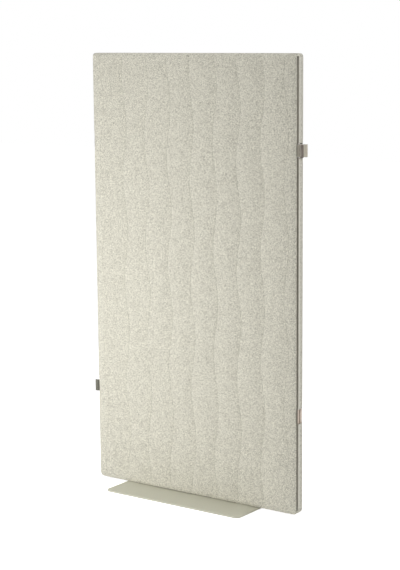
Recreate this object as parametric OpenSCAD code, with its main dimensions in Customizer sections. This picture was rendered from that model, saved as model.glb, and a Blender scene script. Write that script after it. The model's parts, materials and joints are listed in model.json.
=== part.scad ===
// Free-standing acoustic divider screen. A steel tube frame holds sound-absorbing boards and
// wears a quilted cover, closed by a zip down each side. It stands on a flat steel plate. Two
// swivelling snap clips on its uprights take hold of the uprights of the next screens in a row.
// Millimetres, +Z up. The origin is on the floor under the middle of the screen, whose front
// face looks along -Y.

/* [Screen] */
// Width of the upholstered panel
screen_w = 810; // [600:10:1200]
// Height of the panel's top above the floor
screen_h = 1480; // [1200:10:1800]
// Radius of the panel's corners, seen from the front
corner_r = 15; // [14:1:22]

/* [Base] */
// Width of the base plate
base_w = 547; // [440:1:700]
// Depth of the base plate
base_d = 270; // [200:1:360]
// How far the middle of the base plate is to the right of the panel's middle
base_shift = -16; // [-40:1:40]
// Thickness of the base plate
base_t = 5; // [4:0.5:10]
// Radius of the base plate's corners
base_corner_r = 18; // [8:1:40]
// Thickness of the anti-slip pads under the plate
pad_t = 1; // [1:0.5:3]
// Diameter of the anti-slip pads
pad_d = 40; // [24:1:50]
// Distance between the two saddles that carry the frame
saddle_spacing = 320; // [240:10:380]

/* [Frame] */
// Outer diameter of the frame's tubes
tube_d = 22; // [20:0.5:22.5]
// Wall of the frame's tubes
tube_wall = 1.5; // [1:0.1:2]
// Thickness of the sound-absorbing boards
board_t = 27.4; // [27:0.1:30]

/* [Quilted cover] */
// Thickness of the quilt where it is stitched through
quilt_seam_t = 2.5; // [2:0.1:4]
// Thickness of the quilt at the crest of a channel
quilt_crest_t = 8.5; // [6:0.5:12]
// Distance between neighbouring stitched lines
seam_pitch = 92; // [80:1:100]
// Length of one wave of a stitched line
wave_length = 350; // [250:10:500]
// How far a stitched line swings to either side
wave_swing = 9; // [0:0.5:12]
// Thickness of the quilt where it wraps round the top and bottom rails
wrap_t = 4; // [3:0.5:6]

/* [Linking clips] */
// Height of a clip
clip_h = 40; // [30:1:60]
// Length of a cut-out in the side of the cover beyond the clip, at each end
cutout_margin = 4; // [3:0.5:10]
// Height of the lower clip's middle above the panel's bottom
low_fitting_rise = 325; // [200:5:420]
// Depth of the upper clip's middle below the panel's top
top_fitting_drop = 300; // [200:5:420]
// Wall of a clip round its tube
clip_wall = 2.4; // [2:0.1:2.5]
// Gap between two linked screens
link_gap = 2; // [1:0.5:5]

/* [Zips] */
// Width of the groove that holds a zip
groove_w = 6.4; // [6.2:0.1:7]
// Width of the closed row of teeth
teeth_w = 3.8; // [3.4:0.1:4]
// Length of a zip's slider
slider_l = 9; // [7:0.5:12]
// Length of the slider's puller, from its pivot
puller_l = 12; // [10:1:20]

/* [Hidden] */
$fn = 64;

// Colours
coat = "#b5b5a0";
tube_coat = "#7b7068";
cast = "#6f6f6a";
steel = "#9a9b98";
fabric = "#cfcebf";
felt = "#8f9088";
nylon = "#aaa898";
rubber = "#2c2c2a";
tape = "#8b897c";
coil = "#77756a";

// Clearances
seat = 0.3;          // between a soft piece and what it rests on
fit_gap = 0.1;       // radial play of a plug in a tube, and of a tube in a saddle or jaw
swivel_gap = 0.08;   // radial play of a clip on its upright
thread_gap = 0.05;   // radial play of a screw in its thread, and of a ring on its tube
tube_gap = 0.5;      // between the cover and the tubes inside it
panel_gap = 1;       // between the panel and the base plate
cut = 1;             // overrun of every cut

// The frame's lines
strip_t = 2;
base_top = pad_t + base_t;
panel_z0 = base_top + panel_gap;
tube_r = tube_d/2;
bore_r = tube_r - tube_wall;
side_x = screen_w/2;
upright_x = side_x - strip_t - tube_gap - tube_r;
rail_low_z = panel_z0 + wrap_t + tube_gap + tube_r;
rail_top_z = screen_h - wrap_t - tube_gap - tube_r;
rail_mid_z = (rail_low_z + rail_top_z)/2;
low_fitting_z = panel_z0 + low_fitting_rise;
top_fitting_z = screen_h - top_fitting_drop;

// The cover's lines, measured from the mid-plane of the panel
inner_y = board_t/2 + seat;            // inner face of a quilt, and the middle of a zip's groove
border_y = inner_y + groove_w/2;       // inner face of a quilt's border
strip_front_y = inner_y - groove_w/2;  // front edge of a side strip
slot_y = tube_r + seat;                // edge of a quilt at the top and bottom
border_w = 7;
border_t = 1.5;
roll_extra = 1;
edge_roll = corner_r + roll_extra;     // height over which a quilt rolls round a rail
strip_z0 = panel_z0 + edge_roll + seat;
strip_z1 = screen_h - edge_roll - seat;
cutout_half = clip_h/2 + cutout_margin;

// Base
saddle_w = 50;
saddle_d = 14;
saddle_bite = 2;       // how far a saddle reaches up beside the rail
screw_r = 3;
screw_play = 0.3;
screw_l = 25;
screw_head_r = 6;
screw_head_h = 3;
screw_pitch = 28;
pad_margin = 12;
nut_bar_l = 46;

module at_saddle(side) {
    translate([base_shift + side*saddle_spacing/2, 0, 0]) children();
}

module at_saddle_screws() {
    for (side = [-1, 1]) translate([side*screw_pitch/2, 0, 0]) children();
}

// A flat outline with round corners, centred
module rounded_outline(w, d, r) {
    square([w - 2*r, d], center = true);
    square([w, d - 2*r], center = true);
    for (sx = [-1, 1], sy = [-1, 1]) translate([sx*(w/2 - r), sy*(d/2 - r)]) circle(r);
}

module base_plate() {
    color(coat) difference() {
        translate([base_shift, 0, pad_t])
            linear_extrude(base_t) rounded_outline(base_w, base_d, base_corner_r);
        for (side = [-1, 1]) at_saddle(side) at_saddle_screws() {
            translate([0, 0, pad_t - cut]) cylinder(r = screw_r + screw_play, h = base_t + 2*cut);
            translate([0, 0, pad_t])
                cylinder(r1 = screw_head_r + screw_play, r2 = screw_r + screw_play, h = screw_head_h);
        }
    }
}

module base_pads() {
    pad_x = base_w/2 - pad_margin - pad_d/2;
    pad_y = base_d/2 - pad_margin - pad_d/2;
    color(rubber) for (sx = [-1, 1], sy = [-1, 1])
        translate([base_shift + sx*pad_x, sy*pad_y, 0]) cylinder(d = pad_d, h = pad_t);
}

// A saddle carries the bottom rail and passes through the cover's bottom strip
module saddle(side) {
    saddle_top = rail_low_z - tube_r + saddle_bite;
    color(coat) at_saddle(side) difference() {
        translate([-saddle_w/2, -saddle_d/2, base_top])
            cube([saddle_w, saddle_d, saddle_top - base_top]);
        translate([-saddle_w/2 - cut, 0, rail_low_z]) rotate([0, 90, 0])
            cylinder(r = tube_r + fit_gap, h = saddle_w + 2*cut);
        at_saddle_screws() translate([0, 0, base_top - cut])
            cylinder(r = screw_r + screw_play, h = rail_low_z - base_top);
    }
}

module base_screws() {
    color(steel) for (side = [-1, 1]) at_saddle(side) at_saddle_screws()
        translate([0, 0, pad_t]) union() {
            cylinder(r1 = screw_head_r, r2 = screw_r, h = screw_head_h);
            cylinder(r = screw_r, h = screw_l);
        }
}

// A round threaded bar inside the bottom rail takes the two screws of a saddle
module nut_bar(side) {
    color(steel) at_saddle(side) difference() {
        translate([-nut_bar_l/2, 0, rail_low_z]) rotate([0, 90, 0])
            cylinder(r = bore_r - fit_gap, h = nut_bar_l);
        at_saddle_screws() translate([0, 0, rail_low_z - tube_r])
            cylinder(r = screw_r + thread_gap, h = tube_d);
    }
}

// Frame
elbow_shoulder = 3;
elbow_reach = tube_r + elbow_shoulder;   // from a corner of the frame to the end of its tubes
plug_l = 26;                         // length of a plug inside a tube
tee_rim = 1;
tee_wall = 2.4;
tee_shoulder = 1;
tee_mouth_share = 0.7;               // where a tee's collar is cut off, against the tube's radius
tee_h = tube_d + 2*tee_rim;
tee_reach = tube_r + tee_wall + tee_shoulder;   // from an upright's axis to the middle rail's end
pin_r = 2;                           // screws that hold the plugs, driven in from the back
pin_head_r = 3.6;
pin_head_h = 1.4;
pin_inset = 12;                      // from a tube's end to its screw
pin_tip_y = 3;                       // how far a screw's tip stays from the tube's axis
rail_half = upright_x - elbow_reach;
middle_half = upright_x - tee_reach;
upright_z0 = rail_low_z + elbow_reach;
upright_z1 = rail_top_z - elbow_reach;

module pin_hole() {
    rotate([-90, 0, 0]) cylinder(r = pin_r + fit_gap, h = tube_d);
}

module tube(length) {
    difference() {
        cylinder(r = tube_r, h = length);
        translate([0, 0, -cut]) cylinder(r = bore_r, h = length + 2*cut);
        for (z = [pin_inset, length - pin_inset]) translate([0, 0, z]) pin_hole();
    }
}

module rail(half_length, z) {
    color(tube_coat) translate([-half_length, 0, z]) rotate([0, 90, 0]) tube(2*half_length);
}

module bottom_rail() {
    color(tube_coat) difference() {
        rail(rail_half, rail_low_z);
        for (side = [-1, 1]) at_saddle(side) at_saddle_screws()
            translate([0, 0, rail_low_z - tube_d]) cylinder(r = screw_r + screw_play, h = tube_d);
    }
}

module upright(side) {
    color(tube_coat) translate([side*upright_x, 0, upright_z0]) tube(upright_z1 - upright_z0);
}

// One arm of an elbow or tee: a shoulder as thick as the tube, then a plug inside it
module plug_arm(reach) {
    difference() {
        union() {
            cylinder(r = tube_r, h = reach);
            cylinder(r = bore_r - fit_gap, h = reach + plug_l);
        }
        translate([0, 0, reach + pin_inset]) pin_hole();
    }
}

// A cast elbow, with arms towards the middle of the frame
module elbow(side, end, z) {
    color(cast) translate([side*upright_x, 0, z]) union() {
        sphere(r = tube_r);
        rotate([0, end > 0 ? 180 : 0, 0]) plug_arm(elbow_reach);
        rotate([0, -90*side, 0]) plug_arm(elbow_reach);
    }
}

// A collar round an upright, open towards the side strip, with an arm for the middle rail
module tee(side) {
    color(cast) translate([side*upright_x, 0, rail_mid_z]) difference() {
        union() {
            translate([0, 0, -tee_h/2]) cylinder(r = tube_r + tee_wall, h = tee_h);
            rotate([0, -90*side, 0]) plug_arm(tee_reach);
        }
        translate([0, 0, -tee_h/2 - cut]) cylinder(r = tube_r + swivel_gap, h = tee_h + 2*cut);
        translate([side > 0 ? tee_mouth_share*tube_r : -tee_mouth_share*tube_r - tube_d, -tube_d, -tee_h])
            cube([tube_d, 2*tube_d, 2*tee_h]);
    }
}

// A pan-head screw with its head bedded on the back of a tube whose axis runs along Z
module frame_screw() {
    union() {
        rotate([-90, 0, 0]) translate([0, 0, pin_tip_y])
            cylinder(r = pin_r, h = tube_r - pin_tip_y + pin_head_h);
        difference() {
            rotate([-90, 0, 0]) cylinder(r = pin_head_r, h = tube_r + pin_head_h);
            translate([0, 0, -tube_r]) cylinder(r = tube_r + thread_gap, h = tube_d);
        }
    }
}

module frame_screws() {
    color(steel) {
        for (side = [-1, 1], z = [upright_z0 + pin_inset, upright_z1 - pin_inset])
            translate([side*upright_x, 0, z]) frame_screw();
        for (side = [-1, 1], z = [rail_low_z, rail_top_z])
            translate([side*(rail_half - pin_inset), 0, z]) rotate([0, 90, 0]) frame_screw();
        for (side = [-1, 1])
            translate([side*(middle_half - pin_inset), 0, rail_mid_z]) rotate([0, 90, 0]) frame_screw();
    }
}

// Sound-absorbing boards between the rails
board_half = upright_x - tube_r - swivel_gap - clip_wall - 2*seat;

module board(z0, z1) {
    color(felt) translate([-board_half, -board_t/2, z0 + tube_r + seat])
        cube([2*board_half, board_t, z1 - z0 - 2*tube_r - 2*seat]);
}

// Quilted cover. A quilt is a loft of closed rings of points, one ring for each level of its
// height. A ring runs along the outer face from left to right, then back along the border and
// the inner face. At the top and bottom the quilt rolls in towards the rails.
seams_a_side = floor((side_x - corner_r)/seam_pitch);
seam_phase_shares = [0.74, 0.54, 0.93, 0.74, 0.56, 0.92, 0.73, 0.92, 0.53];
channel_steps = 3;
roll_steps = 3;
edge_channel_share = 0.6;     // crest of the narrow channels at the sides
puff_power = 0.6;             // fullness of a channel between its seams
border_depth_share = (border_y - inner_y)/(border_y + border_t - inner_y);
dip_margin = 14;
dip_reach = cutout_half + dip_margin;
dip_depth = 3;                // how far the sides are drawn in at the cut-outs
level_step = 64;

function lerp(a, b, t) = a + (b - a)*t;

function seam_x(k, z) = (k - seams_a_side)*seam_pitch + wave_swing*cos(360*(z/wave_length
    - seam_phase_shares[k % len(seam_phase_shares)]));

// Half the panel's width at a height, with its round corners and the dips at the cut-outs
function end_gap(z) = min(z - panel_z0, screen_h - z);
function corner_x(z) = end_gap(z) >= corner_r ? 0
    : corner_r - sqrt(max(0, corner_r^2 - (corner_r - end_gap(z))^2));
function dip(z) = dip_depth*max(0, 1 - min(abs(z - low_fitting_z), abs(z - top_fitting_z))/dip_reach);
function half_w(z) = side_x - corner_x(z) - dip(z);

// Bounds of the channels at a height, from the left side to the right side
function channel_bounds(z) = concat([-half_w(z)],
    [for (k = [0:2*seams_a_side]) seam_x(k, z)], [half_w(z)]);
function bound_y(c) = c == 0 || c == 2*seams_a_side + 2 ? border_y + border_t : inner_y + quilt_seam_t;
function crest(c) = (quilt_crest_t - quilt_seam_t)
    *(c == 0 || c == 2*seams_a_side + 1 ? edge_channel_share : 1);
function puff(t) = pow(max(0, 4*t*(1 - t)), puff_power);

// Outer face of the quilt at a height, as [x, distance from the mid-plane]
function outer_row(z) = let (b = channel_bounds(z), n = len(b) - 1) concat(
    [for (c = [0:n - 1], s = [0:channel_steps - 1]) let (t = s/channel_steps)
        [lerp(b[c], b[c + 1], t), lerp(bound_y(c), bound_y(c + 1), t) + crest(c)*puff(t)]],
    [[b[n], bound_y(n)]]);

// Levels from the bottom to the top, as [height of the outer face, height of the inner face,
// angle of the roll], which is 0 on the flat faces and 90 at the edge over a rail
function roll_level(angle, end) = let (e = end > 0 ? screen_h : panel_z0) [
    e - end*edge_roll*(1 - sin(angle)),
    e - end*(wrap_t + (edge_roll - wrap_t)*(1 - sin(angle))), angle];
function span(z0, z1) = let (n = ceil((z1 - z0)/level_step))
    [for (i = [0:n - 1]) let (z = lerp(z0, z1, i/n)) [z, z, 0]];
level_marks = [panel_z0 + edge_roll, low_fitting_z - dip_reach, low_fitting_z,
    low_fitting_z + dip_reach, top_fitting_z - dip_reach, top_fitting_z,
    top_fitting_z + dip_reach, screen_h - edge_roll];
levels = concat(
    [for (i = [roll_steps:-1:1]) roll_level(90*i/roll_steps, -1)],
    [for (m = [1:len(level_marks) - 1]) each span(level_marks[m - 1], level_marks[m])],
    [for (i = [0:roll_steps]) roll_level(90*i/roll_steps, 1)]);

// One ring of the loft, with the front face's points first
function rolled(y, angle) = slot_y + (y - slot_y)*cos(angle);
function ring(level) = let (
    z = level[0], angle = level[2], w = half_w(z),
    inner = [rolled(inner_y, angle), level[1]],
    edge = [rolled(border_y + border_t, angle), z],
    border = lerp(inner, edge, border_depth_share)
) concat(
    [for (p = outer_row(z)) [p[0], -rolled(p[1], angle), z]],
    [for (x = [w, w - border_w]) [x, -border[0], border[1]]],
    [for (x = [w - border_w, border_w - w]) [x, -inner[0], inner[1]]],
    [for (x = [border_w - w, -w]) [x, -border[0], border[1]]]);

// The flat end of the loft, as triangles on the points of a ring of n points. The outer face
// has all but the last six, which are the border and inner face at the right, then at the left.
function end_triangles(n) = let (right = [n - 6, n - 5, n - 4], left = [n - 1, n - 2, n - 3],
    outer_end = n - 7, middle = floor(outer_end/2)) concat(
    [[0, 1, left[0]], [1, left[1], left[0]], [1, left[2], left[1]]],
    [for (j = [1:middle - 1]) [j, j + 1, left[2]]],
    [[middle, right[2], left[2]]],
    [for (j = [middle:outer_end - 2]) [j, j + 1, right[2]]],
    [[outer_end - 1, outer_end, right[0]], [outer_end - 1, right[0], right[1]],
        [outer_end - 1, right[1], right[2]]]);

module quilt() {
    rings = [for (level = levels) ring(level)];
    n = len(rings[0]);
    last = (len(rings) - 1)*n;
    polyhedron(points = [for (r = rings) each r], faces = concat(
        end_triangles(n),
        [for (i = [1:len(rings) - 1], j = [0:n - 1]) let (a = (i - 1)*n, b = i*n, k = (j + 1) % n)
            each [[a + j, b + j, b + k], [a + j, b + k, a + k]]],
        [for (t = end_triangles(n)) [last + t[2], last + t[1], last + t[0]]]), convexity = 10);
}

module front_quilt() {
    color(fabric) quilt();
}

module back_quilt() {
    color(fabric) rotate([0, 0, 180]) quilt();
}

// Strips of the cover between the two quilts, over the top and under the bottom
saddle_slot_gap = 0.4;

module end_strip() {
    strip_half = slot_y - seat;
    panel_h = screen_h - panel_z0;
    translate([0, strip_half, panel_z0 + panel_h/2]) rotate([90, 0, 0])
        linear_extrude(2*strip_half) difference() {
            rounded_outline(screen_w, panel_h, corner_r);
            rounded_outline(screen_w - 2*strip_t, panel_h - 2*strip_t, corner_r - strip_t);
        }
}

module top_strip() {
    color(fabric) intersection() {
        end_strip();
        translate([-screen_w, -board_t, screen_h - edge_roll]) cube([2*screen_w, 2*board_t, 2*edge_roll]);
    }
}

module bottom_strip() {
    color(fabric) difference() {
        intersection() {
            end_strip();
            translate([-screen_w, -board_t, panel_z0 - edge_roll])
                cube([2*screen_w, 2*board_t, 2*edge_roll]);
        }
        for (side = [-1, 1]) at_saddle(side)
            translate([-saddle_w/2 - saddle_slot_gap, -saddle_d/2 - saddle_slot_gap, panel_z0 - cut])
                cube([saddle_w + 2*saddle_slot_gap, saddle_d + 2*saddle_slot_gap, strip_t + 2*cut]);
    }
}

// Side strips, shown for the right side and mirrored for the left. A strip has a hem along each
// edge. A cut-out bares the upright at each fitting and leaves only the hem at the back.
hem_t = 1.2;
zip_depth = 5;
strip_back_y = border_y - seat;
zip_x = side_x - zip_depth;
strip_l = strip_z1 - strip_z0;

module on_side(side) {
    mirror([side < 0 ? 1 : 0, 0, 0]) children();
}

module strip_profile() {
    translate([side_x - strip_t, -strip_front_y]) square([strip_t, strip_front_y + strip_back_y]);
    translate([zip_x, -strip_front_y]) square([zip_depth, hem_t]);
    translate([side_x - border_w + seat, strip_back_y - hem_t]) square([border_w - seat, hem_t]);
}

module side_strip(side) {
    color(fabric) on_side(side) difference() {
        translate([0, 0, strip_z0]) linear_extrude(strip_l) strip_profile();
        for (z = [low_fitting_z, top_fitting_z])
            translate([side_x - border_w, -border_y, z - cutout_half])
                cube([border_w + cut, border_y + strip_back_y - hem_t, 2*cutout_half]);
    }
}

// Zips, in the groove between the front quilt and each side strip
tape_t = 0.8;
teeth_h = 2;
stop_l = 3;
stop_w = 4.4;
stop_h = 2.2;
teeth_x = zip_x + tape_t + thread_gap;

module zip_tape(side) {
    color(tape) on_side(side) translate([zip_x, -strip_back_y, strip_z0])
        cube([tape_t, strip_back_y - strip_front_y - seat, strip_l]);
}

// Two rounded rows of teeth side by side, between a stop at each end
module zip_teeth(side) {
    row_r = teeth_w/4;
    color(coil) on_side(side) translate([teeth_x, -inner_y, strip_z0]) union() {
        linear_extrude(strip_l) {
            translate([0, -teeth_w/2]) square([teeth_h - row_r, teeth_w]);
            for (row = [-1, 1]) translate([teeth_h - row_r, row*row_r]) circle(row_r);
        }
        for (z = [0, strip_l - stop_l]) translate([0, -stop_w/2, z]) cube([stop_h, stop_w, stop_l]);
    }
}

// The slider is a roof over the teeth with a flange at each side and a lug for the puller. It
// is parked at the bottom, with the zip closed.
slide_gap = 0.2;
slider_roof_t = 1.2;
slider_flange_t = 0.6;
slider_round = 1.6;
lug_r = 1.1;
lug_w = 1.6;
lug_bore_r = 0.55;
puller_pin_r = 0.5;
puller_arm_r = 0.9;
puller_arm_t = 0.6;
puller_arm_l = 4;
puller_t = 0.8;
puller_w = 3.6;
puller_round = 1.2;
slider_x = teeth_x + stop_h + slide_gap;
slider_w = teeth_w + 2*slide_gap + 2*slider_flange_t;
slider_z = strip_z0 + stop_l + slide_gap + slider_l/2;
pivot_x = slider_x + slider_roof_t + lug_r;

module slider(side) {
    color(steel) on_side(side) translate([0, -inner_y, slider_z]) difference() {
        union() {
            translate([teeth_x + slide_gap, 0, 0]) rotate([0, 90, 0])
                linear_extrude(slider_x + slider_roof_t - teeth_x - slide_gap)
                    rounded_outline(slider_l, slider_w, slider_round);
            translate([pivot_x, 0, 0]) rotate([90, 0, 0])
                cylinder(r = lug_r, h = lug_w, center = true);
            translate([pivot_x - lug_r - slider_roof_t/2, -lug_w/2, -lug_r])
                cube([lug_r + slider_roof_t/2, lug_w, 2*lug_r]);
        }
        translate([teeth_x - cut, slider_flange_t - slider_w/2, -slider_l])
            cube([slider_x - teeth_x + cut, slider_w - 2*slider_flange_t, 2*slider_l]);
        translate([pivot_x, 0, 0]) rotate([90, 0, 0])
            cylinder(r = lug_bore_r, h = slider_w, center = true);
    }
}

module puller(side) {
    arm_y = lug_w/2 + slide_gap;
    color(steel) on_side(side) translate([pivot_x, -inner_y, slider_z]) union() {
        rotate([90, 0, 0]) cylinder(r = puller_pin_r, h = 2*arm_y + puller_arm_t, center = true);
        for (s = [0, 1]) mirror([0, s, 0]) {
            translate([0, arm_y + puller_arm_t, 0]) rotate([90, 0, 0])
                cylinder(r = puller_arm_r, h = puller_arm_t);
            translate([-puller_t/2, arm_y, -puller_arm_l]) cube([puller_t, puller_arm_t, puller_arm_l]);
        }
        translate([-puller_t/2, 0, -(puller_l + puller_arm_l - puller_arm_r)/2]) rotate([0, 90, 0])
            linear_extrude(puller_t)
                rounded_outline(puller_l - puller_arm_l + puller_arm_r, puller_w, puller_round);
    }
}

// Linking clips, shown for the right side with the upright's axis at the origin. A sleeve turns
// on the screen's own upright, and an open jaw snaps onto the next screen's upright.
neck_t = 8;
mouth_angle = 75;           // from the way out of the jaw to the middle of each lip
lip_share = 0.62;           // radius of a lip against the clip's wall
ring_t = 1.6;
ring_wall = 2;
ring_play = 0.2;
link_d = 2*(side_x - upright_x) + link_gap;
sleeve_bore_r = tube_r + swivel_gap;
jaw_bore_r = tube_r + fit_gap;

module clip_profile() {
    mouth = 2*(jaw_bore_r + clip_wall);
    difference() {
        union() {
            circle(sleeve_bore_r + clip_wall);
            translate([link_d, 0]) circle(jaw_bore_r + clip_wall);
            translate([tube_r, -neck_t/2]) square([link_d - 2*tube_r, neck_t]);
        }
        circle(sleeve_bore_r);
        translate([link_d, 0]) {
            circle(jaw_bore_r);
            polygon([[0, 0], mouth*[cos(mouth_angle), -sin(mouth_angle)], [mouth, -mouth],
                [mouth, mouth], mouth*[cos(mouth_angle), sin(mouth_angle)]]);
        }
    }
    for (s = [-1, 1]) translate([link_d, 0]) rotate(s*mouth_angle)
        translate([jaw_bore_r + fit_gap + clip_wall*lip_share, 0]) circle(clip_wall*lip_share);
}

module clip(side, z) {
    color(nylon) translate([side*upright_x, 0, z - clip_h/2]) rotate([0, 0, side > 0 ? 0 : 180])
        linear_extrude(clip_h) clip_profile();
}

// The rings above and below a clip keep it at its height on the upright
module clip_rings(side, z) {
    color(steel) for (end = [-1, 1])
        translate([side*upright_x, 0, z + end*(clip_h/2 + ring_play + ring_t/2) - ring_t/2])
            difference() {
                cylinder(r = tube_r + ring_wall, h = ring_t);
                translate([0, 0, -cut]) cylinder(r = tube_r + thread_gap, h = ring_t + 2*cut);
            }
}

base_plate();
base_pads();
saddle(-1);  // left_saddle
saddle(1);  // right_saddle
base_screws();
nut_bar(-1);  // left_nut_bar
nut_bar(1);  // right_nut_bar
bottom_rail();
rail(rail_half, rail_top_z);  // top_rail
rail(middle_half, rail_mid_z);  // middle_rail
upright(-1);  // left_upright
upright(1);  // right_upright
elbow(-1, -1, rail_low_z);  // bottom_left_elbow
elbow(1, -1, rail_low_z);  // bottom_right_elbow
elbow(-1, 1, rail_top_z);  // top_left_elbow
elbow(1, 1, rail_top_z);  // top_right_elbow
tee(-1);  // left_tee
tee(1);  // right_tee
frame_screws();
board(rail_low_z, rail_mid_z);  // lower_board
board(rail_mid_z, rail_top_z);  // upper_board
front_quilt();
back_quilt();
top_strip();
bottom_strip();
side_strip(-1);  // left_side_strip
side_strip(1);  // right_side_strip
zip_tape(-1);  // left_zip_tape
zip_tape(1);  // right_zip_tape
zip_teeth(-1);  // left_zip_teeth
zip_teeth(1);  // right_zip_teeth
slider(-1);  // left_slider
slider(1);  // right_slider
puller(-1);  // left_puller
puller(1);  // right_puller
clip(-1, low_fitting_z);  // left_clip
clip(1, top_fitting_z);  // right_clip
clip_rings(-1, low_fitting_z);  // left_clip_rings
clip_rings(1, top_fitting_z);  // right_clip_rings
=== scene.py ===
# %% [markdown]
# # Dressing an acoustic divider screen
# The real object is a tube frame in a quilted wool cover, on a flat steel plate. Its solids come
# from the CAD model and already sit where they belong. This lesson puts cloth, thread, zip teeth
# and finishes on them. Everything is in metres, in the frame of the CAD model.

# %% Load the frame
import json
import math
import bmesh
import bpy
import numpy as np
from mathutils import Matrix, Vector


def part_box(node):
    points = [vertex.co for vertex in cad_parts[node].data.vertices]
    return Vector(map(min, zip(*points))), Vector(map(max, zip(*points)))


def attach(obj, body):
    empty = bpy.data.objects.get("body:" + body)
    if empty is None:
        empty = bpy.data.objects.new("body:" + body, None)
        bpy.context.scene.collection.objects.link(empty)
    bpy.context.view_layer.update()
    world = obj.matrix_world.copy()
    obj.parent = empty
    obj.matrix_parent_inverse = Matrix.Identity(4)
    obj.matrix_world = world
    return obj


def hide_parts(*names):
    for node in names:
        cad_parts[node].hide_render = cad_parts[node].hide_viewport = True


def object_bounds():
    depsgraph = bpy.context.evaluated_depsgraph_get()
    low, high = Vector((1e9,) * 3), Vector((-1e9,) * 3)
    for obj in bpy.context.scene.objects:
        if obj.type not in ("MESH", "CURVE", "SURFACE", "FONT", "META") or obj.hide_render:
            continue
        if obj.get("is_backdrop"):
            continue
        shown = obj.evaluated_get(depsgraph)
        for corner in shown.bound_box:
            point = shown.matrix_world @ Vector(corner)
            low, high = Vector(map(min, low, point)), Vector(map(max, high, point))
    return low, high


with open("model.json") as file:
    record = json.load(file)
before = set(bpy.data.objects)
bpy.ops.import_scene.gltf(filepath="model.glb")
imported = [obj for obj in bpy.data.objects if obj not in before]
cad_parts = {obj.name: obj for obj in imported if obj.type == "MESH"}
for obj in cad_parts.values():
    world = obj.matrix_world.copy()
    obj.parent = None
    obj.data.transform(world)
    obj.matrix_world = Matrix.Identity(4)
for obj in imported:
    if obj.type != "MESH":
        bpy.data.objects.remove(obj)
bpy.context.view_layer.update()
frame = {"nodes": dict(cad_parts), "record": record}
MM = 0.001

# %% [markdown]
# ## Lengths
# The cover follows the solids, so its lines are taken from their boxes where they can be, and
# the rest are the sizes of the real cloth, thread and zip. X is across the screen, Y into it.
# Each side has two fittings, one low and one high. One of them is a clip that links the screen
# to the next, and the other is a cut-out where the next screen's clip snaps on.

# %% Lengths
quilt_low, quilt_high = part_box("front_quilt")
strip_low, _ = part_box("right_side_strip")
SIDE = quilt_high.x                      # half the panel's width
BOTTOM, TOP = quilt_low.z, quilt_high.z  # ends of the panel
CREST = -quilt_low.y                     # crest of a channel, from the mid-plane
INNER, BORDER = 14.0*MM, 17.2*MM         # inner face of a quilt, and of its border
SEAM = INNER + 2.5*MM                    # depth of a stitched line
OUTER_SEAM, EDGE = 21.4*MM, 17.35*MM     # the last lines and the rim lie on a rounded edge
SLOT = 11.3*MM                           # edge of a quilt over a rail
LOW_CORNER, HIGH_CORNER = 15*MM, 9*MM    # the cloth fills the top corners out a little more
ROLL, WRAP = 16*MM, 4*MM                 # height of a quilt's roll round a rail, its depth there
LOW_FITTING, HIGH_FITTING = 332*MM, 1180*MM
CUT_HALF = 24*MM                         # half the height of a cut-out
SIDES = {"left": -1, "right": 1}
print("panel, mm:", round(2*SIDE/MM), "x", round((TOP - BOTTOM)/MM), "crest", round(CREST/MM, 2))

# %% [markdown]
# ## Camera
# The photographer stood to the right of the screen, a little above its top. The place, the turn
# and the focal length came from fitting the panel's edges and the base plate's outline to a
# pinhole camera, which leaves most of the lines within half a pixel and all within one.

# %% Camera
FRAME_PX, FOCAL_PX = 570, 1534           # the picture's long side and the focal length, in pixels
YAW, PITCH, ROLL_ANGLE = np.radians([-35.608, 9.407, -0.482])
STANDS_AT = (2.924, -4.057, 1.550)
forward = np.array([math.sin(YAW)*math.cos(PITCH), math.cos(YAW)*math.cos(PITCH),
                    -math.sin(PITCH)])
level = np.array([math.cos(YAW), -math.sin(YAW), 0])
up = np.cross(level, forward)
right = level*math.cos(ROLL_ANGLE) + up*math.sin(ROLL_ANGLE)
up = np.cross(right, forward)
camera = bpy.data.objects.new("camera", bpy.data.cameras.new("camera"))
camera.data.sensor_width = 36
camera.data.lens = FOCAL_PX*36/FRAME_PX
camera.matrix_world = Matrix.Translation(STANDS_AT) @ Matrix(
    np.column_stack([right, up, -forward]).tolist()).to_4x4()
bpy.context.scene.collection.objects.link(camera)
bpy.context.scene.camera = camera
print("lens, mm:", round(camera.data.lens, 2))

# %% [markdown]
# ## Nodes and colours
# Finishes are node trees. One helper adds a node, and one turns the hex colours that painters
# and web pages use, which are sRGB, into the linear ones that light is added up in. Patterns
# are laid in Object coordinates, which are metres here, so a scale is features to the metre.

# %% Helpers for finishes
def linear(hex_colour):
    """sRGB hex to linear: c/12.92 below 0.04045, else ((c + 0.055)/1.055) to the power 2.4."""
    c = np.array([int(hex_colour[i:i + 2], 16) for i in (1, 3, 5)])/255
    return tuple(np.where(c <= 0.04045, c/12.92, ((c + 0.055)/1.055)**2.4)) + (1.0,)


def add(tree, kind, inputs=(), stops=(), **settings):
    """Adds a node. settings are its own properties; inputs pairs each socket's name or number
    with a value, or with the output of another node, which is linked. stops are the places and
    hex colours of a colour ramp."""
    node = tree.nodes.new(kind)
    for name, value in settings.items():
        setattr(node, name, value)
    for name, value in dict(inputs).items():
        if isinstance(value, bpy.types.NodeSocket):
            tree.links.new(value, node.inputs[name])
        else:
            node.inputs[name].default_value = value
    for _ in stops[2:]:                  # a ramp starts with two colours
        node.color_ramp.elements.new(0.5)
    for number, (place, colour) in enumerate(stops):
        element = node.color_ramp.elements[number]
        element.position, element.color = place, linear(colour)
    return node


def start_material(name, **settings):
    """A new material, its tree, its shader with constant settings, and Object coordinates."""
    material = bpy.data.materials.new(name)
    material.use_nodes = True
    tree = material.node_tree
    shader = tree.nodes["Principled BSDF"]
    for key, value in settings.items():
        shader.inputs[key.replace("_", " ")].default_value = value
    place = add(tree, "ShaderNodeTexCoord").outputs["Object"]
    return material, tree, shader, place


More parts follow.
